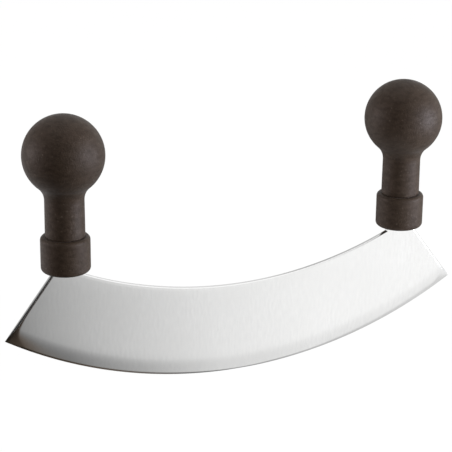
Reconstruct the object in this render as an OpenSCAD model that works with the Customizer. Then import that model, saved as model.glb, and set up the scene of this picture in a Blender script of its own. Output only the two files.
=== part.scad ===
// Two-handled rocking chopper: a curved blade with a ball knob on a collar at each end.
// Millimetres. +X runs along the blade, +Y through its thickness and +Z up.
// The origin is the lowest point of the cutting edge, midway between the two handles.

/* [Blade] */
// Radius of the cutting edge, seen from the front
edge_radius = 238.3; // [225:0.1:255]
// Radius of the hollow spine, seen from the front
spine_radius = 211.4; // [200:0.1:225]
// Depth of the blade from the cutting edge to the spine, at the middle
blade_depth = 47.3; // [40:0.1:55]
// Thickness of the blade
blade_t = 2.5; // [2:0.1:3.5]
// Slope of the straight ends, from level
end_angle = 52.5; // [45:0.5:65]
// Distance from a handle's axis out to the straight end, at the foot of the collar
end_offset = 6.7; // [6:0.1:9]
// Rounding of the long edges of the spine
spine_round = 0.5; // [0.3:0.05:0.8]
// Rounding of the long edges of the straight ends
end_round = 0.5; // [0.3:0.05:0.8]

/* [Cutting edge] */
// Width of the convex grind above the cutting edge
grind_w = 9; // [6:0.5:14]
// Width of the narrow bevel that makes the edge
bevel_w = 1; // [0.6:0.1:1.6]
// Thickness of the blade where the narrow bevel starts
bevel_t = 0.7; // [0.5:0.05:1]
// Thickness left at the cutting edge itself
edge_t = 0.1; // [0.05:0.05:0.3]
// Length of each tip over which the faces fall away
tip_relief_l = 7; // [4:0.5:12]
// Amount that each face falls away at the tip
tip_relief_t = 0.4; // [0.2:0.05:0.6]

/* [Tangs] */
// Distance between the axes of the two handles
handle_spacing = 183.4; // [160:0.1:210]
// Width of the blade's seat for a collar, from the handle's axis inwards
seat_inner_w = 7.3; // [5.8:0.1:9]
// Height of the seat above the spine, at the seat's inner side
seat_h = 2.4; // [1.6:0.1:5]
// Radius in the corner between the seat and the spine
seat_fillet = 0.6; // [0.5:0.1:1.5]
// Width of a tang inside its collar
tang_w = 10; // [8:0.1:11]
// Depth that each side of a tang is stepped in from the face of the blade
tang_step = 0.15; // [0.1:0.05:0.3]

/* [Collars] */
// Outer diameter of a collar
collar_d = 24.4; // [23:0.1:30]
// Height of a collar
collar_h = 17.8; // [16:0.1:24]
// Rounding of the collar's upper outer edge
collar_top_round = 2; // [1:0.1:2.2]
// Rounding of the collar's lower outer edge
collar_foot_round = 2; // [1:0.1:3]
// Thickness of the collar's floor, which the tang passes through
collar_floor = 3; // [2:0.1:4]

/* [Knobs] */
// Diameter of the ball
ball_d = 40; // [35:0.5:45]
// Height of the ball's centre above the foot of its neck
ball_h = 40.4; // [38:0.1:50]
// Diameter of the neck under the ball
neck_top_d = 19.4; // [18:0.1:22]
// Diameter of the neck at its foot
neck_foot_d = 19.6; // [18.5:0.1:20]
// Radius of the hollow curve between neck and ball
neck_fillet = 9; // [5:0.5:12]
// Rounding of the neck's lower outer edge
neck_foot_round = 0.5; // [0.2:0.1:1]
// Diameter of the spigot that centres the knob in the collar
spigot_d = 16; // [15:0.1:17]
// Depth of the spigot
spigot_h = 2.5; // [1.5:0.1:3.5]

/* [Fixings] */
// Diameter of the stud's slotted head
stud_head_d = 13.6; // [12.5:0.1:14]
// Height of the stud's slotted head
stud_head_h = 11; // [10:0.1:12]
// Depth of the slot in the head
stud_slot_h = 8.4; // [7:0.1:9]
// Outer diameter of the stud's thread
thread_d = 8; // [6:0.5:9]
// Distance between turns of the thread
thread_pitch = 1.25; // [1:0.05:1.5]
// Depth of the thread
thread_depth = 0.6; // [0.4:0.05:0.8]
// Length of the stud above its head
shank_l = 23; // [16:0.5:28]
// Diameter of the cross pin
pin_d = 4; // [3:0.1:5]
// Outer diameter of the threaded insert
insert_d = 11; // [10.5:0.1:13]
// Length of the threaded insert
insert_l = 18; // [12:0.5:22]
// Depth and width of the retaining grooves round the insert
insert_groove = 0.6; // [0.3:0.1:1]

/* [Clearances] */
// Gap round the tang in the floor of the collar and in the slot of the stud
tang_gap = 0.15; // [0.05:0.05:0.3]
// Gap round the stud's head and the spigot inside the collar
collar_gap = 0.2; // [0.1:0.05:0.4]
// Gap round the cross pin
pin_gap = 0.05; // [0.02:0.01:0.1]
// Gap round the thread and the insert
thread_gap = 0.05; // [0.02:0.01:0.15]

/* [Hidden] */

$fn = 96;
arc_fn = 720;
eps = 0.02;
steel = "#c9cbcc";
dark_plastic = "#3d3632";
brass = "#c2a15a";

// Blade, worked out from the driving dimensions.
handle_x = handle_spacing / 2;
spine_z = blade_depth + spine_radius;
seat_x = handle_x - seat_inner_w;
// The seats and the feet of the collars meet at a whole hundredth of a millimetre.
foot_z = round(100 * (spine_z - sqrt(pow(spine_radius, 2) - pow(seat_x, 2)) + seat_h)) / 100;
end_x = handle_x + end_offset;
below_edge = 2;
bevel_drop = (blade_t - bevel_t) / 2;
grind_radius = (pow(grind_w - bevel_w, 2) + pow(bevel_drop, 2)) / (2 * bevel_drop);

// The tip is where the straight end meets the cutting edge: end_x + t cos, foot_z - t sin.
tip_b = end_x * cos(end_angle) + (edge_radius - foot_z) * sin(end_angle);
tip_c = pow(end_x, 2) + pow(edge_radius - foot_z, 2) - pow(edge_radius, 2);
end_l = -tip_b + sqrt(pow(tip_b, 2) - tip_c);
tip_x = end_x + end_l * cos(end_angle);
relief_x = tip_x - tip_relief_l;
relief_radius = (pow(tip_relief_l, 2) + pow(tip_relief_t, 2)) / (2 * tip_relief_t);

// Fixings, measured up from the foot of the collar.
tang_t = blade_t - 2 * tang_step;
head_z = collar_floor + collar_gap;
tang_h = head_z + stud_slot_h - collar_gap;
pin_z = head_z + stud_slot_h / 2;
pin_l = sqrt(pow(stud_head_d, 2) - pow(pin_d, 2)) - 2 * pin_gap;
shank_z = head_z + stud_head_h;
insert_z = collar_h - spigot_h + collar_gap;
insert_bore_d = thread_d + 2 * thread_gap;
knob_bore_end = max(insert_z + insert_l, shank_z + shank_l + 1);

// The hollow curve of the neck touches the neck at fillet_z and the ball at touch_r, touch_z.
ball_r = ball_d / 2;
fillet_x = neck_top_d / 2 + neck_fillet;
fillet_drop = sqrt(pow(ball_r + neck_fillet, 2) - pow(fillet_x, 2));
fillet_z = ball_h - fillet_drop;
touch_r = fillet_x * ball_r / (ball_r + neck_fillet);
touch_z = ball_h - fillet_drop * ball_r / (ball_r + neck_fillet);

// Lays a drawing made in X and Y upright in X and Z, centred on the blade's middle plane.
module upright(thickness) {
    rotate([90, 0, 0])
        linear_extrude(height = thickness, center = true)
            children();
}

// Turns a drawing of radius and thickness about an axis through the blade at height z.
module turned_at(z) {
    translate([0, 0, z])
        rotate([90, 0, 0])
            rotate_extrude($fn = arc_fn)
                children();
}

module at_handle(side, height) {
    translate([side * handle_x, 0, foot_z + height])
        children();
}

// Disc with the convex grind and the narrow bevel at its rim.
module ground_disc() {
    flat_r = edge_radius - grind_w;
    bevel_r = edge_radius - bevel_w;
    turned_at(edge_radius) {
        translate([0, -blade_t / 2])
            square([flat_r, blade_t]);
        intersection() {
            translate([flat_r - eps, -blade_t / 2])
                square([bevel_r - flat_r + eps, blade_t]);
            translate([flat_r, blade_t / 2 - grind_radius])
                circle(r = grind_radius, $fn = arc_fn);
            translate([flat_r, grind_radius - blade_t / 2])
                circle(r = grind_radius, $fn = arc_fn);
        }
        polygon([
            [bevel_r, -bevel_t / 2],
            [edge_radius, -edge_t / 2],
            [edge_radius, edge_t / 2],
            [bevel_r, bevel_t / 2]
        ]);
    }
}

// Everything outside the spine's circle, with the two spine edges rounded.
module spine_ring() {
    outer_r = spine_radius + 2 * blade_depth + foot_z;
    turned_at(spine_z) {
        translate([spine_radius + spine_round, -blade_t / 2])
            square([outer_r - spine_radius, blade_t]);
        translate([spine_radius, spine_round - blade_t / 2])
            square([2 * spine_round, blade_t - 2 * spine_round]);
        for (face = [-1, 1])
            translate([spine_radius + spine_round, face * (blade_t / 2 - spine_round)])
                circle(r = spine_round, $fn = 48);
    }
}

// Everything inboard of one straight end, with that end's long edges rounded.
module end_slab(side) {
    mirror([side < 0 ? 1 : 0, 0, 0])
        translate([end_x, 0, foot_z])
            rotate([0, end_angle, 0])
                rotate([0, 90, 0])
                    translate([0, 0, -2 * tip_x])
                        linear_extrude(height = 2 * (tip_x + end_l))
                            end_profile();
}

// Section across a straight end: X is the depth into the blade.
module end_profile() {
    depth = 2 * tip_x + foot_z;
    translate([end_round, -blade_t / 2])
        square([depth, blade_t]);
    translate([0, end_round - blade_t / 2])
        square([2 * end_round, blade_t - 2 * end_round]);
    for (face = [-1, 1])
        translate([end_round, face * (blade_t / 2 - end_round)])
            circle(r = end_round, $fn = 48);
}

// Blade thickness seen from above: full between the tips, falling away at each tip.
module tip_relief() {
    translate([0, 0, -below_edge])
        linear_extrude(height = foot_z + 2 * below_edge) {
            square([2 * relief_x, blade_t], center = true);
            for (side = [-1, 1])
                intersection() {
                    translate([side * (relief_x + tip_relief_l / 2), 0])
                        square([tip_relief_l + 2 * eps, blade_t], center = true);
                    for (face = [-1, 1])
                        translate([side * relief_x, face * (relief_radius - blade_t / 2)])
                            circle(r = relief_radius, $fn = arc_fn);
                }
        }
}

// Seat for a collar: the blade's shoulder beside the handle's axis, with its corner radius.
module collar_seat(side) {
    fillet_cx = seat_x - seat_fillet;
    fillet_cz = spine_z - sqrt(pow(spine_radius - seat_fillet, 2) - pow(fillet_cx, 2));
    reach = spine_radius / (spine_radius - seat_fillet);
    touch_x = fillet_cx * reach;
    spine_touch_z = spine_z - (spine_z - fillet_cz) * reach;
    low_z = spine_touch_z - seat_fillet;
    mirror([side < 0 ? 1 : 0, 0, 0])
        upright(blade_t) {
            polygon([
                [seat_x, low_z],
                [end_x, low_z],
                [end_x, foot_z],
                [seat_x, foot_z]
            ]);
            difference() {
                polygon([
                    [touch_x, low_z],
                    [seat_x + eps, low_z],
                    [seat_x + eps, fillet_cz],
                    [fillet_cx, fillet_cz],
                    [touch_x, spine_touch_z]
                ]);
                translate([fillet_cx, fillet_cz])
                    circle(r = seat_fillet);
            }
        }
}

module tang(side) {
    corner = 1.5;
    at_handle(side, 0)
        difference() {
            upright(tang_t) {
                translate([-tang_w / 2, -eps])
                    square([tang_w, tang_h - corner + eps]);
                translate([corner - tang_w / 2, 0])
                    square([tang_w - 2 * corner, tang_h]);
                for (edge = [-1, 1])
                    translate([edge * (tang_w / 2 - corner), tang_h - corner])
                        circle(r = corner);
            }
            pin_hole();
        }
}

// Hole for the cross pin, at the height of the pin above the foot of the collar.
module pin_hole() {
    translate([0, 0, pin_z])
        rotate([90, 0, 0])
            cylinder(d = pin_d + 2 * pin_gap, h = stud_head_d + 2, center = true);
}

module blade() {
    color(steel) {
        intersection() {
            ground_disc();
            end_slab(-1);
            end_slab(1);
            tip_relief();
            union() {
                intersection() {
                    spine_ring();
                    translate([0, 0, (foot_z - below_edge) / 2])
                        cube([3 * tip_x, 2 * blade_t, foot_z + below_edge], center = true);
                }
                collar_seat(-1);
                collar_seat(1);
            }
        }
        tang(-1);
        tang(1);
    }
}

// Outline of a round bar of the collar's size with its two outer edges rounded.
module collar_profile() {
    r = collar_d / 2;
    translate([0, collar_foot_round])
        square([r, collar_h - collar_foot_round - collar_top_round]);
    square([r - collar_foot_round, collar_h / 2]);
    translate([0, collar_h / 2])
        square([r - collar_top_round, collar_h / 2]);
    translate([r - collar_foot_round, collar_foot_round])
        circle(r = collar_foot_round);
    translate([r - collar_top_round, collar_h - collar_top_round])
        circle(r = collar_top_round);
}

module collar(side) {
    slot = [tang_w + 2 * tang_gap, tang_t + 2 * tang_gap, 2 * collar_floor + 2];
    color(dark_plastic)
        at_handle(side, 0)
            difference() {
                rotate_extrude()
                    collar_profile();
                cube(slot, center = true);
                translate([0, 0, collar_floor])
                    cylinder(d = stud_head_d + 2 * collar_gap, h = collar_h);
                translate([0, 0, collar_h - spigot_h - collar_gap])
                    cylinder(d = spigot_d + 2 * collar_gap, h = collar_h);
            }
}

// Half section of the knob: X is the radius and Y the height above the foot of the neck.
module knob_profile() {
    foot_r = neck_foot_d / 2;
    intersection() {
        translate([0, ball_h])
            circle(r = ball_r, $fn = 180);
        translate([0, touch_z - eps])
            square([ball_d, 2 * ball_d]);
    }
    difference() {
        polygon([
            [0, fillet_z],
            [neck_top_d / 2, fillet_z],
            [fillet_x, fillet_z],
            [touch_r, touch_z],
            [0, touch_z]
        ]);
        translate([fillet_x, fillet_z])
            circle(r = neck_fillet, $fn = 180);
    }
    polygon([
        [0, neck_foot_round],
        [foot_r, neck_foot_round],
        [neck_top_d / 2, fillet_z],
        [0, fillet_z]
    ]);
    square([foot_r - neck_foot_round, 2 * neck_foot_round]);
    translate([foot_r - neck_foot_round, neck_foot_round])
        circle(r = neck_foot_round);
    translate([0, -spigot_h])
        square([spigot_d / 2, spigot_h + neck_foot_round]);
}

module knob(side) {
    bore_z = -spigot_h - eps;
    color(dark_plastic)
        at_handle(side, collar_h)
            difference() {
                rotate_extrude()
                    knob_profile();
                translate([0, 0, bore_z])
                    cylinder(d = insert_d + 2 * thread_gap, h = insert_z + insert_l - collar_h - bore_z);
                translate([0, 0, bore_z])
                    cylinder(d = insert_bore_d + 2 * thread_gap, h = knob_bore_end - collar_h - bore_z);
            }
}

// Ring grooves that stand for the turns of the thread.
module thread_grooves(length) {
    r = thread_d / 2;
    turns = floor(length / thread_pitch) - 1;
    for (turn = [1 : turns])
        translate([0, 0, turn * thread_pitch])
            rotate_extrude()
                polygon([
                    [r - thread_depth, 0],
                    [r + eps, -thread_pitch * 0.45],
                    [r + eps, thread_pitch * 0.45]
                ]);
}

module tang_stud(side) {
    slot = [stud_head_d + 2, tang_t + 2 * tang_gap, stud_slot_h];
    point = 1;
    color(steel)
        at_handle(side, 0)
            difference() {
                union() {
                    translate([0, 0, head_z])
                        cylinder(d = stud_head_d, h = stud_head_h);
                    translate([0, 0, shank_z - eps])
                        cylinder(d = thread_d, h = shank_l - point + eps);
                    translate([0, 0, shank_z + shank_l - point])
                        cylinder(d1 = thread_d, d2 = thread_d - 2 * point, h = point);
                }
                translate([0, 0, head_z + stud_slot_h / 2 - eps])
                    cube(slot + [0, 0, 2 * eps], center = true);
                pin_hole();
                translate([0, 0, shank_z + point])
                    thread_grooves(shank_l - 2 * point);
            }
}

module stud_pin(side) {
    color(steel)
        at_handle(side, pin_z)
            rotate([90, 0, 0])
                cylinder(d = pin_d, h = pin_l, center = true);
}

module knob_insert(side) {
    r = insert_d / 2;
    color(brass)
        at_handle(side, insert_z)
            difference() {
                cylinder(d = insert_d, h = insert_l);
                translate([0, 0, -1])
                    cylinder(d = insert_bore_d, h = insert_l + 2);
                for (share = [1 / 3, 2 / 3])
                    translate([0, 0, share * insert_l])
                        rotate_extrude()
                            translate([r - insert_groove, -insert_groove])
                                square([2 * insert_groove, 2 * insert_groove]);
            }
}

blade();
collar(-1);  // left_collar
collar(1);  // right_collar
knob(-1);  // left_knob
knob(1);  // right_knob
tang_stud(-1);  // left_tang_stud
tang_stud(1);  // right_tang_stud
stud_pin(-1);  // left_stud_pin
stud_pin(1);  // right_stud_pin
knob_insert(-1);  // left_knob_insert
knob_insert(1);  // right_knob_insert
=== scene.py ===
from math import asin, atan2, cos, hypot, pi, radians, sin, sqrt, tan

import bpy
from mathutils import Matrix, Vector


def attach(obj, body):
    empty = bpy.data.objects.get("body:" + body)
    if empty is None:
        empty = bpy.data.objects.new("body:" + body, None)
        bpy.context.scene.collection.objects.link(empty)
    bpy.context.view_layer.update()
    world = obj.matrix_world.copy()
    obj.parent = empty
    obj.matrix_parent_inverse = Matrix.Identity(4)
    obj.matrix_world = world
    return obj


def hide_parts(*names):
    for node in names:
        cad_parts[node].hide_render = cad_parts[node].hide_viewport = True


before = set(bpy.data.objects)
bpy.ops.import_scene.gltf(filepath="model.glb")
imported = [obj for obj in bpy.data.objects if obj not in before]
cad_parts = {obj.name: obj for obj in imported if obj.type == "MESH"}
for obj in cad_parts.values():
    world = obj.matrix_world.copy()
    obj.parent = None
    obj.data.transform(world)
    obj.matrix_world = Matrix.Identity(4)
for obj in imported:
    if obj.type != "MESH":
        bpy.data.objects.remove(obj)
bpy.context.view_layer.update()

# The blade's sizes are in millimetres, as in the part's source. All else is in metres.
MM = 0.001
SIDES = ("left", "right")

# Blade
EDGE_RADIUS = 238.3
SPINE_RADIUS = 211.4
BLADE_DEPTH = 47.3
BLADE_T = 2.5
END_SLOPE = radians(52.5)
HANDLE_X = 91.7
SEAT_X = 84.4
SEAT_H = 2.4
SEAT_FILLET = 0.6
END_X = 98.4
SPINE_Z = BLADE_DEPTH + SPINE_RADIUS
FOOT_Z = round(SPINE_Z - sqrt(SPINE_RADIUS ** 2 - SEAT_X ** 2) + SEAT_H, 2)

# Roundings and grind of the blade
SPINE_ROUND = 0.5
SEAT_ROUND = 0.15
END_DROP = 1.0
END_ROLL_TOP = 1.2
END_ROLL_TIP = 1.4
GRIND_W = 9.0
BEVEL_W = 1.0
BEVEL_T = 0.7
EDGE_T = 0.1
RELIEF_L = 14.0
RELIEF_SIZE = 5.2
RELIEF_RIM = 0.5
RELIEF_BLEND = 0.5
RELIEF_SLOPE = tan(radians(7.0))
# How late the relief narrows along the edge: the power of its curve
RELIEF_POWER = 4

# Tang
TANG_W = 10.0
TANG_T = 2.2
TANG_H = 11.4
TANG_CORNER = 1.5
PIN_Z = 7.4
PIN_HOLE_R = 2.05
# How far below the seat it starts, inside the blade
TANG_SUNK = 0.02

# How finely the blade is cut up
SPINE_RIBS = 90
SEAT_RIBS = 26
ROLL_STEPS = 7
GRIND_ROWS = 20
FACE_ROWS = 24
TANG_CORNER_STEPS = 8
# Length of edge below the seat's ribs, against the seat's own width
SEAT_RIB_SPREAD = 1.35
# Where the riser at the seat's inner edge is cut, as shares of its height
RISER_CUTS = (0.5, 0.9)

# Camera
CAMERA_AZIMUTH = radians(-23.298)
CAMERA_ELEVATION = radians(19.181)
CAMERA_ROLL = radians(0.545)
CAMERA_LENS = 135.32
CAMERA_AIM = Vector((-0.00721, 0.0, 0.07911))
CAMERA_DISTANCE = 0.85373
CAMERA_SENSOR = 36.0

# Studio
FLOOR_SIZE = 12.0
# Share of the floor that is glow to the camera and in reflections, and how bright it is
FLOOR_GLOW = 0.85
GLOW_STRENGTH = 1.13
FLOOR_GREY_LOW = (0.39, 0.39, 0.39)
FLOOR_GREY_HIGH = (0.41, 0.41, 0.41)
CARD_HEIGHT = 0.0001
WORLD_LIGHT = 0.64
LAMP_AIM = Vector((0.0, 0.0, 0.08))
# Dark patches of the surroundings, seen only in reflections: direction, outer and inner
# half angle in degrees, and brightness
DARK_PATCHES = (
    ((-0.50, -0.78, 0.38), 50.0, 34.0, 0.04),
    ((-0.90, 0.05, 0.42), 46.0, 25.0, 0.3),
    ((-0.43, 0.87, 0.26), 26.0, 12.0, 0.42),
    ((0.40, 0.87, 0.27), 23.0, 10.0, 0.72),
    ((0.08, 0.87, 0.48), 17.0, 8.0, 0.55),
)
# The camera's mirror image in the blade
MIRROR_X = -0.3261
MIRROR_Y = 0.7406
MIRROR_Z = 0.3597
# The cards glow, though they are no lamps, and are seen only in reflections: their brightness is a
# painted reflection on the blade, with painted shade and a painted highlight
# Cards: how far each reaches to its own left and right, and its depth away from the blade
CARD_LEFT_FRONT = -3.0
CARD_LEFT_BACK = -0.125
CARD_RIGHT = 0.6
CARD_DEPTH = 3.0
END_CARD_LEFT = -1.5
END_CARD_RIGHT = -0.18
# Brightness of the end card's painted reflection by place along it
END_CARD_BY_X = ((-0.45, 0.3), (-0.30, 0.45), (END_CARD_RIGHT, 1.0))
# Brightness of the painted reflection on the card: slope of the line from the mirror image, and share
# of the card's top
CARD_TOP = 4.0
CARD_BY_SLOPE = (
    (0.20, 0.005), (0.262, 0.010), (0.282, 0.070), (0.30, 0.094), (0.325, 0.120),
    (0.354, 0.146), (0.39, 0.176), (0.427, 0.206), (0.50, 0.239), (0.56, 0.247),
    (0.71, 0.255),
)
# Colour of the cards' darkest parts, a painted brown in the blade's dark reflections, and the share of
# the card's top where it has turned white
CARD_DARK = (1.35, 1.0, 0.72)
CARD_WHITE_FROM = 0.052
# The edge rises this much faster than a parabola of its radius
EDGE_RISE = 1.08
# Painted shade on the card where the blade's grind is reflected: it fades in between these multiples
# of the grind's top
GRIND_FADE = (2.7, 0.6)
# Painted shade on the card where the narrow bevel is reflected: the share of the bevel's width that
# stands for it, and the ratios of its height to the distance from the blade between which the shade
# fades in
BEVEL_MIDDLE = 0.7
BEVEL_FADE = (1.1, 1.4)
# Painted highlight on the card past the reflection of the spine: where it changes, in metres above the
# spine
SPINE_FADE = (-0.002, 0.003)
# Painted shade: share taken off the card for the grind and for the narrow bevel, by place along the
# blade
GRIND_SHADE = (
    (-0.15, 0.92), (-0.125, 0.78), (-0.11, 0.60), (-0.095, 0.57), (-0.075, 0.46),
    (-0.043, 0.28), (-0.01, 0.14), (0.06, 0.14), (0.12, 0.11),
)
BEVEL_SHADE = ((-0.12, 0.78), (-0.075, 0.74), (-0.01, 0.68), (0.03, 0.42), (0.12, 0.24))
# Painted highlight: share added to the card past the reflection of the spine, by place along the blade
SPINE_LIGHT = ((-0.12, 0.3), (-0.075, 0.27), (-0.043, 0.12), (-0.01, 0.04), (0.03, 0.0))


# Blade mesh

def point_on_edge(angle):
    """Point of the cutting edge, by its angle from straight down about the edge's centre."""
    return EDGE_RADIUS * sin(angle), EDGE_RADIUS * (1 - cos(angle))


def tip_angle():
    """Angle at which the straight end meets the cutting edge."""
    up = EDGE_RADIUS - FOOT_Z
    b = END_X * cos(END_SLOPE) + up * sin(END_SLOPE)
    c = END_X ** 2 + up ** 2 - EDGE_RADIUS ** 2
    length = -b + sqrt(b * b - c)
    return atan2(END_X + length * cos(END_SLOPE), up + length * sin(END_SLOPE))


TIP_ANGLE = tip_angle()
TIP_Z = point_on_edge(TIP_ANGLE)[1]


def spine_top():
    """Top of the right half, from the middle to the seat: arc, hollow corner and riser."""
    centre_x = SEAT_X - SEAT_FILLET
    centre_z = SPINE_Z - sqrt((SPINE_RADIUS - SEAT_FILLET) ** 2 - centre_x ** 2)
    touch_angle = asin(centre_x / (SPINE_RADIUS - SEAT_FILLET))
    points = []
    for step in range(SPINE_RIBS + 1):
        angle = touch_angle * step / SPINE_RIBS
        points.append((SPINE_RADIUS * sin(angle), SPINE_Z - SPINE_RADIUS * cos(angle)))
    start = touch_angle - pi / 2
    for step in range(1, ROLL_STEPS + 1):
        angle = start * (1 - step / ROLL_STEPS)
        points.append((centre_x + SEAT_FILLET * cos(angle), centre_z + SEAT_FILLET * sin(angle)))
    points += [(SEAT_X, centre_z + (FOOT_Z - centre_z) * cut) for cut in RISER_CUTS]
    return points


def roll_depths(width):
    """Distances from an outline at which its rounding is cut, closest together outside."""
    return [width * (1 - cos(pi / 2 * step / ROLL_STEPS)) for step in range(ROLL_STEPS + 1)]


def half_ribs():
    """Ribs from the middle to the right end: edge point, top point and top rounding."""
    hollow = spine_top()

    # the seat's ribs run parallel to the straight end where that end is rolled off
    roll = roll_depths(END_ROLL_TIP)
    seat_depth = (END_X - SEAT_X) * sin(END_SLOPE)
    step_in = (END_ROLL_TIP - seat_depth) / SEAT_RIBS
    inner = [seat_depth + step_in * step for step in range(SEAT_RIBS)]
    depths = inner + roll[::-1]
    parallel_angle = TIP_ANGLE - END_ROLL_TIP / EDGE_RADIUS
    seat_angle = TIP_ANGLE - SEAT_RIB_SPREAD * seat_depth / EDGE_RADIUS

    ribs = []
    last = len(hollow)
    for index, top in enumerate(hollow):
        ribs.append((seat_angle * index / last, top, SPINE_ROUND))
    for depth in depths:
        top = (END_X - depth / sin(END_SLOPE), FOOT_Z)
        if depth > END_ROLL_TIP:
            share = (depth - END_ROLL_TIP) / (seat_depth - END_ROLL_TIP)
            angle = parallel_angle + (seat_angle - parallel_angle) * share
        else:
            angle = TIP_ANGLE - depth / EDGE_RADIUS
        ribs.append((angle, top, SEAT_ROUND))
    return ribs


def grind_half(height):
    """Half the blade's thickness at a height above the cutting edge."""
    if height >= GRIND_W:
        return BLADE_T / 2
    if height <= BEVEL_W:
        return (EDGE_T + (BEVEL_T - EDGE_T) * height / BEVEL_W) / 2
    drop = (BLADE_T - BEVEL_T) / 2
    width = GRIND_W - BEVEL_W
    radius = (width ** 2 + drop ** 2) / (2 * drop)
    return BLADE_T / 2 - radius + sqrt(radius ** 2 - (GRIND_W - height) ** 2)


def roll_factor(depth, width, drop):
    """Share of the thickness left at a depth inside an outline that is rolled off."""
    if depth >= width:
        return 1.0
    outward = 1 - max(depth, 0.0) / width
    return 1 - drop / (BLADE_T / 2) * (1 - sqrt(1 - outward ** 2))


def relief_factor(end_depth, height):
    """Share of the thickness left near a tip, where a soft facet takes the corner down."""
    size = RELIEF_SIZE * (1 - (end_depth / RELIEF_L) ** RELIEF_POWER)
    reach = size - sqrt((max(end_depth, 0.0) + RELIEF_RIM) * max(height, 0.0))
    if reach <= 0:
        return 1.0
    if reach < RELIEF_BLEND:
        drop = RELIEF_SLOPE * reach ** 2 / (2 * RELIEF_BLEND)
    else:
        drop = RELIEF_SLOPE * (reach - RELIEF_BLEND / 2)
    return 1 - drop / (BLADE_T / 2)


def half_thickness(x, z, top_depth, top_round):
    """Half the thickness at a place on the right half of the blade."""
    height = EDGE_RADIUS - hypot(x, EDGE_RADIUS - z)
    end_depth = (END_X - x) * sin(END_SLOPE) + (FOOT_Z - z) * cos(END_SLOPE)
    down = min(max((FOOT_Z - z) / (FOOT_Z - TIP_Z), 0.0), 1.0)
    end_roll = END_ROLL_TOP + (END_ROLL_TIP - END_ROLL_TOP) * down ** 2
    return (
        grind_half(height)
        * roll_factor(top_depth, top_round, top_round)
        * roll_factor(end_depth, end_roll, END_DROP)
        * relief_factor(end_depth, height)
    )


def rib_points(angle, top, top_round):
    """Points up one rib, from the cutting edge to the top, with the half thickness at each."""
    foot = Vector(point_on_edge(angle))
    span = Vector(top) - foot
    length = span.length
    along = span / length
    outward = -(foot - Vector((0, EDGE_RADIUS))).dot(along)

    def reach(height):
        """Distance up the rib to a height above the cutting edge."""
        missing = EDGE_RADIUS ** 2 - (EDGE_RADIUS - height) ** 2
        return outward - sqrt(outward ** 2 - missing)

    step = (GRIND_W - BEVEL_W) / GRIND_ROWS
    heights = [0.0] + [BEVEL_W + step * row for row in range(GRIND_ROWS + 1)]
    places = [reach(height) for height in heights]
    low = places[-1]
    high = length - top_round
    places += [low + (high - low) * row / FACE_ROWS for row in range(1, FACE_ROWS)]
    places += [length - depth for depth in roll_depths(top_round)[::-1]]
    points = []
    for place in places:
        spot = foot + along * place
        half = half_thickness(spot.x, spot.y, length - place, top_round)
        points.append((spot.x, half, spot.y))
    return points


def blade_plate(mesh_points, faces, sharp):
    """The blade as ribs of points on its front and back, joined round the outline."""
    ribs = [rib_points(*rib) for rib in half_ribs()]
    ribs = [[(-x, half, z) for x, half, z in rib] for rib in ribs[:0:-1]] + ribs
    rows = len(ribs[0])
    start = len(mesh_points)
    for rib in ribs:
        mesh_points += [(x, -half, z) for x, half, z in rib]
        mesh_points += [(x, half, z) for x, half, z in rib]

    def front(rib, row):
        return start + rib * 2 * rows + row

    def back(rib, row):
        return front(rib, row) + rows

    last = len(ribs) - 1
    top = rows - 1
    for rib in range(last):
        after = rib + 1
        for row in range(top):
            up = row + 1
            faces.append((front(rib, row), front(after, row), front(after, up), front(rib, up)))
            faces.append((back(rib, row), back(rib, up), back(after, up), back(after, row)))
        faces.append((front(rib, 0), back(rib, 0), back(after, 0), front(after, 0)))
        faces.append((front(rib, top), front(after, top), back(after, top), back(rib, top)))
        for side in (front, back):
            sharp.add(frozenset((side(rib, 0), side(after, 0))))
            sharp.add(frozenset((side(rib, 1), side(after, 1))))
    for row in range(top):
        up = row + 1
        faces.append((front(0, row), front(0, up), back(0, up), back(0, row)))
        faces.append((front(last, row), back(last, row), back(last, up), front(last, up)))
    for rib in (0, last):
        sharp.add(frozenset((front(rib, top), back(rib, top))))
        sharp.add(frozenset((front(rib, 0), back(rib, 0))))


def tang_outline():
    """Outline of a tang, from its lower right corner round to its lower left one."""
    half = TANG_W / 2
    points = [(half, -TANG_SUNK), (half, PIN_Z / 2), (half, PIN_Z)]
    for corner_x, start in ((half - TANG_CORNER, 0.0), (TANG_CORNER - half, pi / 2)):
        for step in range(TANG_CORNER_STEPS + 1):
            angle = start + pi / 2 * step / TANG_CORNER_STEPS
            x = corner_x + TANG_CORNER * cos(angle)
            points.append((x, TANG_H - TANG_CORNER + TANG_CORNER * sin(angle)))
    points += [(-half, PIN_Z), (-half, PIN_Z / 2), (-half, -TANG_SUNK)]
    points += [(x, -TANG_SUNK) for x in (-half / 2, 0.0, half / 2)]
    return points


def tang_plate(mesh_points, faces, sharp, handle_x):
    """A tang with its pin hole, as rays from the hole to the outline."""
    outline = tang_outline()
    count = len(outline)
    start = len(mesh_points)
    for y in (-TANG_T / 2, TANG_T / 2):
        for x, z in outline:
            away = atan2(z - PIN_Z, x)
            hole_x = handle_x + PIN_HOLE_R * cos(away)
            mesh_points.append((hole_x, y, FOOT_Z + PIN_Z + PIN_HOLE_R * sin(away)))
        mesh_points += [(handle_x + x, y, FOOT_Z + z) for x, z in outline]

    def at(layer, ring, index):
        return start + (layer * 2 + ring) * count + index % count

    for index in range(count):
        after = index + 1
        faces.append((at(0, 0, index), at(0, 1, index), at(0, 1, after), at(0, 0, after)))
        faces.append((at(1, 0, index), at(1, 0, after), at(1, 1, after), at(1, 1, index)))
        faces.append((at(0, 1, index), at(1, 1, index), at(1, 1, after), at(0, 1, after)))
        faces.append((at(0, 0, index), at(0, 0, after), at(1, 0, after), at(1, 0, index)))
        for layer in (0, 1):
            for ring in (0, 1):
                sharp.add(frozenset((at(layer, ring, index), at(layer, ring, after))))


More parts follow.
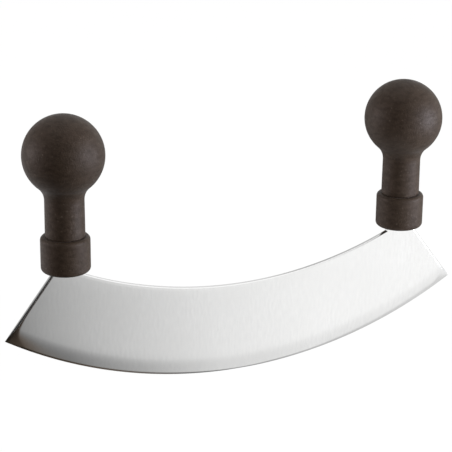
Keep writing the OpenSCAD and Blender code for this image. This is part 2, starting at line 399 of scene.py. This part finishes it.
def make_mesh(name, points, faces, sharp):
    """A smooth-shaded mesh from points in millimetres, with some edges kept sharp."""
    mesh = bpy.data.meshes.new(name)
    mesh.from_pydata([Vector(point) * MM for point in points], [], faces)
    mesh.validate()
    mesh.shade_smooth()
    for edge in mesh.edges:
        if frozenset(edge.vertices) in sharp:
            edge.use_edge_sharp = True
    piece = bpy.data.objects.new(name, mesh)
    bpy.context.collection.objects.link(piece)
    return piece


def add_blade(material):
    """The blade with its tangs, in place of the CAD mesh."""
    points = []
    faces = []
    sharp = set()
    blade_plate(points, faces, sharp)
    for side in (-1, 1):
        tang_plate(points, faces, sharp, side * HANDLE_X)
    piece = make_mesh("blade_ground", points, faces, sharp)
    piece.data.materials.append(material)
    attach(piece, "root")
    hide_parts("blade")


# Materials

def add_node(material, kind, **settings):
    """Add a shader node and set its attributes."""
    node = material.node_tree.nodes.new(kind)
    for name, value in settings.items():
        setattr(node, name, value)
    return node


def link(material, source, target):
    material.node_tree.links.new(source, target)


def new_material(name):
    """A material with only a Principled shader and its output."""
    material = bpy.data.materials.new(name)
    material.use_nodes = True
    return material, material.node_tree.nodes["Principled BSDF"]


def noise(material, scale, detail=3.0, stretch=(1.0, 1.0, 1.0)):
    """Noise over the object's own coordinates, stretched along its axes."""
    place = add_node(material, "ShaderNodeTexCoord")
    mapping = add_node(material, "ShaderNodeMapping")
    mapping.inputs["Scale"].default_value = stretch
    texture = add_node(material, "ShaderNodeTexNoise")
    texture.inputs["Scale"].default_value = scale
    texture.inputs["Detail"].default_value = detail
    link(material, place.outputs["Object"], mapping.inputs["Vector"])
    link(material, mapping.outputs["Vector"], texture.inputs["Vector"])
    return texture


def ramp(material, source, low, high, start=0.3, end=0.7):
    """Turn a noise value into a colour between low and high."""
    node = add_node(material, "ShaderNodeValToRGB")
    node.color_ramp.elements[0].position = start
    node.color_ramp.elements[0].color = (*low, 1.0)
    node.color_ramp.elements[1].position = end
    node.color_ramp.elements[1].color = (*high, 1.0)
    link(material, source.outputs["Fac"], node.inputs["Fac"])
    return node


def spread(material, source, low, high, start=0.3, end=0.7):
    """Map a noise value to a number between low and high."""
    node = add_node(material, "ShaderNodeMapRange")
    node.inputs["From Min"].default_value = start
    node.inputs["From Max"].default_value = end
    node.inputs["To Min"].default_value = low
    node.inputs["To Max"].default_value = high
    link(material, source.outputs["Fac"], node.inputs["Value"])
    return node


def blend(material, amount, base, other):
    """Take a colour towards another one by an amount from 0 to 1."""
    node = add_node(material, "ShaderNodeMix", data_type="RGBA")
    link(material, amount, node.inputs["Factor"])
    link(material, base, node.inputs["A"])
    node.inputs["B"].default_value = (*other, 1.0)
    return node.outputs["Result"]


def bump(material, source, shader, depth, strength=1.0):
    """Tilt the surface as if a noise value raised it, by a depth in metres."""
    node = add_node(material, "ShaderNodeBump")
    node.inputs["Distance"].default_value = depth
    node.inputs["Strength"].default_value = strength
    link(material, source.outputs["Fac"], node.inputs["Height"])
    link(material, node.outputs["Normal"], shader.inputs["Normal"])


def plastic_material():
    """Dark brown, finely grained moulded plastic."""
    material, shader = new_material("handle_plastic")
    clouds = noise(material, scale=60.0, detail=4.0)
    mottle = noise(material, scale=600.0, detail=5.0, stretch=(0.5, 0.5, 1.0))
    grain = noise(material, scale=1300.0, detail=3.0)
    specks = noise(material, scale=1100.0, detail=1.0)
    tint = ramp(material, mottle, low=(0.0240, 0.0132, 0.0058), high=(0.0360, 0.0200, 0.0090))
    light = spread(material, specks, low=0.0, high=0.5, start=0.66, end=0.78)
    speck_color = (0.10, 0.075, 0.055)
    spotted = blend(material, light.outputs["Result"], tint.outputs["Color"], speck_color)
    link(material, spotted, shader.inputs["Base Color"])
    rough = spread(material, clouds, low=0.54, high=0.64)
    link(material, rough.outputs["Result"], shader.inputs["Roughness"])
    shine = spread(material, mottle, low=0.26, high=0.39)
    link(material, shine.outputs["Result"], shader.inputs["Specular IOR Level"])
    shader.inputs["Specular Tint"].default_value = (1.0, 0.94, 0.96, 1.0)
    shader.inputs["Sheen Weight"].default_value = 0.05
    shader.inputs["Sheen Roughness"].default_value = 0.4
    bump(material, grain, shader, depth=0.00015)
    return material


def blade_material():
    """Satin stainless steel with faint upright grinding lines."""
    material, shader = new_material("blade_steel")
    lines = noise(material, scale=900.0, detail=3.0, stretch=(1.0, 1.0, 0.03))
    streaks = noise(material, scale=800.0, detail=3.0, stretch=(1.0, 1.0, 0.25))
    wear = noise(material, scale=35.0, detail=5.0)
    tint = ramp(material, wear, low=(0.925, 0.925, 0.915), high=(0.965, 0.965, 0.96))
    depth = spread(material, streaks, low=0.0, high=1.0)
    streak_color = (0.905, 0.905, 0.90)
    streaked = blend(material, depth.outputs["Result"], tint.outputs["Color"], streak_color)
    link(material, streaked, shader.inputs["Base Color"])
    shader.inputs["Metallic"].default_value = 1.0
    rough = spread(material, lines, low=0.12, high=0.17)
    link(material, rough.outputs["Result"], shader.inputs["Roughness"])
    bump(material, lines, shader, depth=0.000004, strength=0.5)
    return material


def turned_material(name, low, high, roughness):
    """Lathe-turned metal with fine rings."""
    material, shader = new_material(name)
    rings = noise(material, scale=1500.0, detail=2.0, stretch=(0.05, 0.05, 1.0))
    stain = noise(material, scale=120.0, detail=4.0)
    tint = ramp(material, stain, low, high)
    link(material, tint.outputs["Color"], shader.inputs["Base Color"])
    shader.inputs["Metallic"].default_value = 1.0
    rough = spread(material, rings, low=roughness - 0.05, high=roughness + 0.08)
    link(material, rough.outputs["Result"], shader.inputs["Roughness"])
    bump(material, rings, shader, depth=0.00001, strength=0.5)
    return material


def dress(node_names, material):
    """Put one material on all slots of the CAD nodes."""
    for name in node_names:
        mesh = bpy.data.objects[name].data
        mesh.materials.clear()
        mesh.materials.append(material)


# Studio

def math_node(material, operation, first, second=None):
    """A Math node fed by sockets or plain numbers."""
    node = add_node(material, "ShaderNodeMath", operation=operation)
    for socket, value in zip(node.inputs, (first, second)):
        if value is None:
            continue
        if isinstance(value, (int, float)):
            socket.default_value = value
        else:
            link(material, value, socket)
    return node.outputs["Value"]


def backdrop_material():
    """Nearly white floor: part glow seen by the camera, part diffuse for the shadow."""
    material, shader = new_material("studio_floor")
    nodes = material.node_tree.nodes
    speckle = noise(material, scale=3.0, detail=2.0)
    tint = ramp(material, speckle, FLOOR_GREY_LOW, FLOOR_GREY_HIGH)
    nodes.remove(shader)
    diffuse = add_node(material, "ShaderNodeBsdfDiffuse")
    link(material, tint.outputs["Color"], diffuse.inputs["Color"])
    glow = add_node(material, "ShaderNodeEmission")
    glow.inputs["Strength"].default_value = GLOW_STRENGTH
    path = add_node(material, "ShaderNodeLightPath")
    seen = math_node(material, "MAXIMUM", path.outputs["Is Camera Ray"], path.outputs["Is Glossy Ray"])
    seen = math_node(material, "MAXIMUM", seen, path.outputs["Is Transmission Ray"])
    share = math_node(material, "MULTIPLY", seen, FLOOR_GLOW)
    mix = add_node(material, "ShaderNodeMixShader")
    link(material, share, mix.inputs["Fac"])
    link(material, diffuse.outputs["BSDF"], mix.inputs[1])
    link(material, glow.outputs["Emission"], mix.inputs[2])
    link(material, mix.outputs["Shader"], nodes["Material Output"].inputs["Surface"])
    return material


def add_plane(name, size, material, place=(0.0, 0.0, 0.0), turn=0.0):
    """A level rectangle of the studio."""
    bpy.ops.mesh.primitive_plane_add(size=1.0, location=place, rotation=(0.0, 0.0, turn))
    plane = bpy.context.object
    plane.name = name
    plane.data.transform(Matrix.Diagonal((*size, 1.0, 1.0)))
    plane.data.materials.append(material)
    return plane


def curve_of(material, value, stops):
    """A smooth curve through (value, level) stops, level 0 to 1."""
    low = stops[0][0]
    high = stops[-1][0]
    fit = add_node(material, "ShaderNodeMapRange")
    fit.inputs["From Min"].default_value = low
    fit.inputs["From Max"].default_value = high
    link(material, value, fit.inputs["Value"])
    node = add_node(material, "ShaderNodeValToRGB")
    elements = node.color_ramp.elements
    while len(elements) < len(stops):
        elements.new(0.5)
    for element, (at, level) in zip(elements, stops):
        element.position = (at - low) / (high - low)
        element.color = (level, level, level, 1.0)
    link(material, fit.outputs["Result"], node.inputs["Fac"])
    return node.outputs["Color"]


def shade_of(material, value, span):
    """A smooth step from 0 at the first end of the span to 1 at the other."""
    node = add_node(material, "ShaderNodeMapRange", interpolation_type="SMOOTHSTEP")
    node.inputs["From Min"].default_value = min(span)
    node.inputs["From Max"].default_value = max(span)
    falling = span[0] > span[1]
    node.inputs["To Min"].default_value = 1.0 if falling else 0.0
    node.inputs["To Max"].default_value = 0.0 if falling else 1.0
    link(material, value, node.inputs["Value"])
    return node.outputs["Result"]


def darken(material, level, shade, depth):
    """The level with a share of it, shade times depth, taken off."""
    cut = math_node(material, "MULTIPLY", shade, depth)
    return math_node(material, "MULTIPLY", level, math_node(material, "SUBTRACT", 1.0, cut))


def own_place(material):
    """The X, Y and Z sockets of the object's own coordinates."""
    place = add_node(material, "ShaderNodeTexCoord")
    split = add_node(material, "ShaderNodeSeparateXYZ")
    link(material, place.outputs["Object"], split.inputs["Vector"])
    return split.outputs


def graded_material():
    """Glowing reflection card on the floor beside the blade, no lamp: a painted reflection, dark at
    the left, white at the right.

    The card's brightness follows the slope of the line to it from the camera's mirror image
    in the blade. It falls near the blade's foot as painted shade, where the grind and the edge's
    narrow bevel are reflected, and rises past the spine's reflection as a painted highlight.
    """
    material, shader = new_material("graded_card")
    nodes = material.node_tree.nodes
    nodes.remove(shader)
    place = own_place(material)
    x = place["X"]
    out = math_node(material, "MULTIPLY", place["Y"], -1.0)
    across = math_node(material, "SUBTRACT", x, MIRROR_X)
    along = math_node(material, "ADD", out, MIRROR_Y)
    slope = math_node(material, "DIVIDE", across, along)
    main = curve_of(material, slope, CARD_BY_SLOPE)

    # place on the blade that shows this spot, and the height of the cutting edge there
    start_x = math_node(material, "SUBTRACT", x, math_node(material, "MULTIPLY", out, slope))
    square = math_node(material, "MULTIPLY", start_x, start_x)
    edge_z = math_node(material, "MULTIPLY", square, EDGE_RISE / (2 * EDGE_RADIUS * MM))

    # painted shade where the grind is reflected
    grind_z = math_node(material, "ADD", edge_z, GRIND_W * MM)
    grind = shade_of(material, math_node(material, "DIVIDE", out, grind_z), GRIND_FADE)
    grind_depth = curve_of(material, start_x, GRIND_SHADE)
    keep = darken(material, main, grind, grind_depth)

    # painted shade where the narrow bevel is reflected
    bevel_z = math_node(material, "ADD", edge_z, BEVEL_MIDDLE * BEVEL_W * MM)
    bevel = shade_of(material, math_node(material, "DIVIDE", bevel_z, out), BEVEL_FADE)
    bevel_depth = curve_of(material, start_x, BEVEL_SHADE)
    keep = darken(material, keep, bevel, bevel_depth)

    # height on the blade that shows this spot, less the height of the spine there
    seen_z = math_node(material, "DIVIDE", math_node(material, "MULTIPLY", out, MIRROR_Z), along)
    rise = math_node(material, "MULTIPLY", square, 1 / (2 * SPINE_RADIUS * MM))
    spine_z = math_node(material, "ADD", rise, BLADE_DEPTH * MM)
    over = math_node(material, "SUBTRACT", seen_z, spine_z)
    # painted highlight past the reflection of the spine
    past = shade_of(material, over, SPINE_FADE)
    gain = math_node(material, "MULTIPLY", curve_of(material, start_x, SPINE_LIGHT), -1.0)
    level = darken(material, keep, past, gain)

    # the dark parts are brown, the bright ones white: painted brown in the blade's dark reflections
    white = shade_of(material, level, (0.0, CARD_WHITE_FROM))
    tone = add_node(material, "ShaderNodeMix", data_type="RGBA")
    link(material, white, tone.inputs["Factor"])
    tone.inputs["A"].default_value = (*CARD_DARK, 1.0)
    tone.inputs["B"].default_value = (1.0, 1.0, 1.0, 1.0)
    glow = add_node(material, "ShaderNodeEmission")
    link(material, tone.outputs["Result"], glow.inputs["Color"])
    link(material, math_node(material, "MULTIPLY", level, CARD_TOP), glow.inputs["Strength"])
    link(material, glow.outputs["Emission"], nodes["Material Output"].inputs["Surface"])
    return material


def end_material():
    """Glowing reflection card behind the blade's right end, no lamp: a painted reflection, white
    beside it, grey further out.
    """
    material, shader = new_material("end_card")
    nodes = material.node_tree.nodes
    nodes.remove(shader)
    place = own_place(material)
    glow = add_node(material, "ShaderNodeEmission")
    link(material, curve_of(material, place["X"], END_CARD_BY_X), glow.inputs["Strength"])
    link(material, glow.outputs["Emission"], nodes["Material Output"].inputs["Surface"])
    return material


def add_card(name, material, turn, left, right):
    """A card on the floor, from the blade's plane outwards, seen only in reflections."""
    card = add_plane(name, (right - left, CARD_DEPTH), material, (0.0, 0.0, CARD_HEIGHT), turn)
    card.data.transform(Matrix.Translation(((right + left) / 2, -CARD_DEPTH / 2, 0.0)))
    card.visible_camera = False
    card.visible_diffuse = False
    card.visible_shadow = False
    card.visible_transmission = False


def add_cards():
    """A graded card in front of the blade, one turned half round behind it and an end card."""
    graded = graded_material()
    add_card("front_card", graded, 0.0, CARD_LEFT_FRONT, CARD_RIGHT)
    add_card("back_card", graded, pi, CARD_LEFT_BACK, CARD_RIGHT)
    add_card("end_card", end_material(), pi, END_CARD_LEFT, END_CARD_RIGHT)


def add_lamp(name, place, size, power, color):
    """A soft square lamp aimed at the handles."""
    data = bpy.data.lights.new(name, "AREA")
    data.size = size
    data.energy = power
    data.color = color
    lamp = bpy.data.objects.new(name, data)
    bpy.context.collection.objects.link(lamp)
    lamp.visible_camera = False
    lamp.location = place
    direction = LAMP_AIM - Vector(place)
    lamp.rotation_euler = direction.to_track_quat("-Z", "Y").to_euler()


def add_lamps():
    """A large lamp above, a cooler one at the front right and a warmer one at the back left."""
    add_lamp("top_lamp", (0.0, 0.0, 1.6), size=1.4, power=0.7, color=(1.0, 1.0, 1.0))
    add_lamp("right_lamp", (0.58, -0.44, 0.13), size=0.26, power=6.4, color=(0.85, 0.90, 1.0))
    add_lamp("left_lamp", (-1.05, 0.46, 0.22), size=0.2, power=4.5, color=(1.0, 0.91, 0.90))


def add_world():
    """White to the camera; in reflections white with a few dark patches."""
    world = bpy.data.worlds.new("studio_world")
    bpy.context.scene.world = world
    world.use_nodes = True
    background = world.node_tree.nodes["Background"]
    background.inputs["Color"].default_value = (1.0, 1.0, 1.0, 1.0)
    path = add_node(world, "ShaderNodeLightPath")
    place = add_node(world, "ShaderNodeTexCoord")
    glossy = path.outputs["Is Glossy Ray"]
    for way, outer, inner, level in DARK_PATCHES:
        toward = add_node(world, "ShaderNodeVectorMath", operation="DOT_PRODUCT")
        toward.inputs[1].default_value = Vector(way).normalized()
        link(world, place.outputs["Generated"], toward.inputs[0])
        patch = add_node(world, "ShaderNodeMapRange", interpolation_type="SMOOTHSTEP")
        patch.inputs["From Min"].default_value = cos(radians(outer))
        patch.inputs["From Max"].default_value = cos(radians(inner))
        patch.inputs["To Min"].default_value = 1.0
        patch.inputs["To Max"].default_value = level
        link(world, toward.outputs["Value"], patch.inputs["Value"])
        glossy = math_node(world, "MULTIPLY", glossy, patch.outputs["Result"])
    camera = path.outputs["Is Camera Ray"]
    white = math_node(world, "MAXIMUM", camera, path.outputs["Is Transmission Ray"])
    seen = math_node(world, "MAXIMUM", path.outputs["Is Glossy Ray"], white)
    unseen = math_node(world, "SUBTRACT", 1.0, seen)
    light = math_node(world, "MULTIPLY", unseen, WORLD_LIGHT)
    level = math_node(world, "ADD", light, math_node(world, "MAXIMUM", glossy, white))
    link(world, level, background.inputs["Strength"])


def add_camera():
    """The photo's camera, fitted to the outlines of the object."""
    back = Vector((
        sin(CAMERA_AZIMUTH) * cos(CAMERA_ELEVATION),
        -cos(CAMERA_AZIMUTH) * cos(CAMERA_ELEVATION),
        sin(CAMERA_ELEVATION),
    ))
    right = Vector((0.0, 0.0, 1.0)).cross(back).normalized()
    up = back.cross(right)
    rolled_right = right * cos(CAMERA_ROLL) + up * sin(CAMERA_ROLL)
    rolled_up = up * cos(CAMERA_ROLL) - right * sin(CAMERA_ROLL)
    data = bpy.data.cameras.new("photo_camera")
    data.lens = CAMERA_LENS
    data.sensor_width = CAMERA_SENSOR
    camera = bpy.data.objects.new("photo_camera", data)
    bpy.context.collection.objects.link(camera)
    turn = Matrix((rolled_right, rolled_up, back)).transposed().to_4x4()
    camera.matrix_world = Matrix.Translation(CAMERA_AIM + back * CAMERA_DISTANCE) @ turn
    bpy.context.scene.camera = camera


add_blade(blade_material())
dress([f"{side}_{part}" for side in SIDES for part in ("collar", "knob")], plastic_material())
steel = turned_material("fixing_steel", (0.52, 0.52, 0.51), (0.62, 0.62, 0.60), roughness=0.3)
dress([f"{side}_{part}" for side in SIDES for part in ("tang_stud", "stud_pin")], steel)
brass = turned_material("insert_brass", (0.70, 0.47, 0.16), (0.80, 0.56, 0.22), roughness=0.28)
dress([f"{side}_knob_insert" for side in SIDES], brass)
add_plane("studio_floor", (FLOOR_SIZE, FLOOR_SIZE), backdrop_material())
add_cards()
add_lamps()
add_world()
add_camera()
bpy.context.scene.view_settings.view_transform = "Standard"
